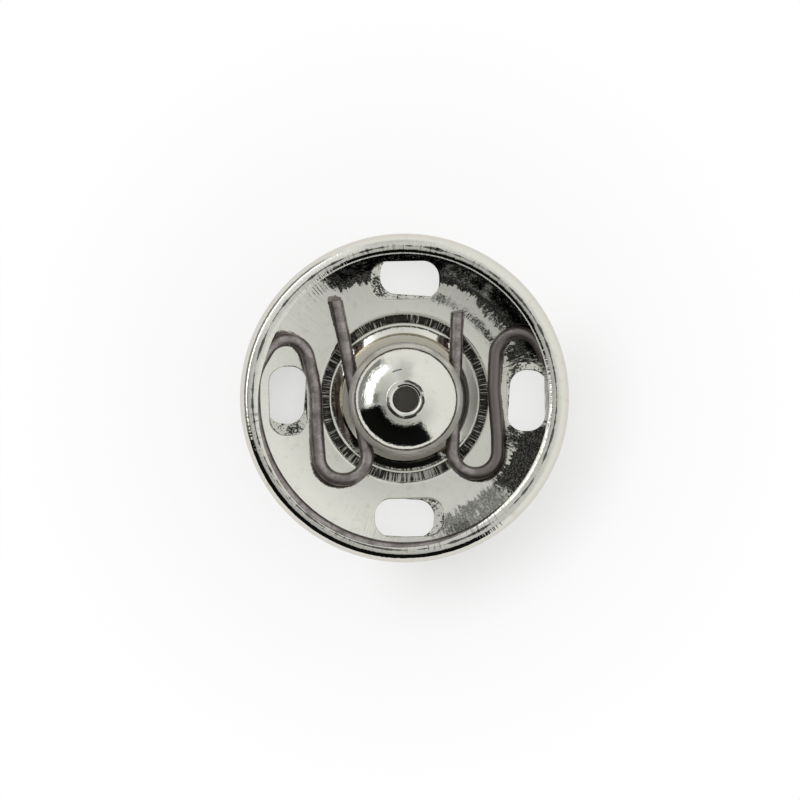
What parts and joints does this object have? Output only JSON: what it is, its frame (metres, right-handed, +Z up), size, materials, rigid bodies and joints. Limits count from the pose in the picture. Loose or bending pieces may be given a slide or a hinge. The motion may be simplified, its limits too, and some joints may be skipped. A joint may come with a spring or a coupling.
{
  "type": "snap fastener",
  "caption": "Large sew-on metal snap fastener, closed: a socket half with a formed spring wire in its curled rim, on a stud half with a hollow knob.",
  "frame": {"origin": "centre of the socket's rim, projected onto the surface that the stud plate's rolled rim rests on", "axes": "+Z up along the stud's axis, from the stud plate towards the open side of the socket half; +Y towards the free ends of the spring wire's legs"},
  "size_m": [0.021, 0.021, 0.0056],
  "materials": {
    "plated_stud": "bright nickel plate on pressed brass sheet",
    "plated_socket": "bright nickel plate on pressed brass sheet, with fine drawing marks",
    "spring_wire": "satin grey-brown drawn spring wire"
  },
  "bodies": {
    "stud_half": {"stud_half": "plated_stud"},
    "socket_half": {"socket_plate": "plated_socket", "spring_wire": "spring_wire"}
  },
  "joints": [
    {"name": "snap_apart", "type": "slide", "parent": "stud_half", "child": "socket_half", "axis": [0, 0, 1], "range_m": [0, 0.006], "deforming": ["spring_wire"]}
  ]
}
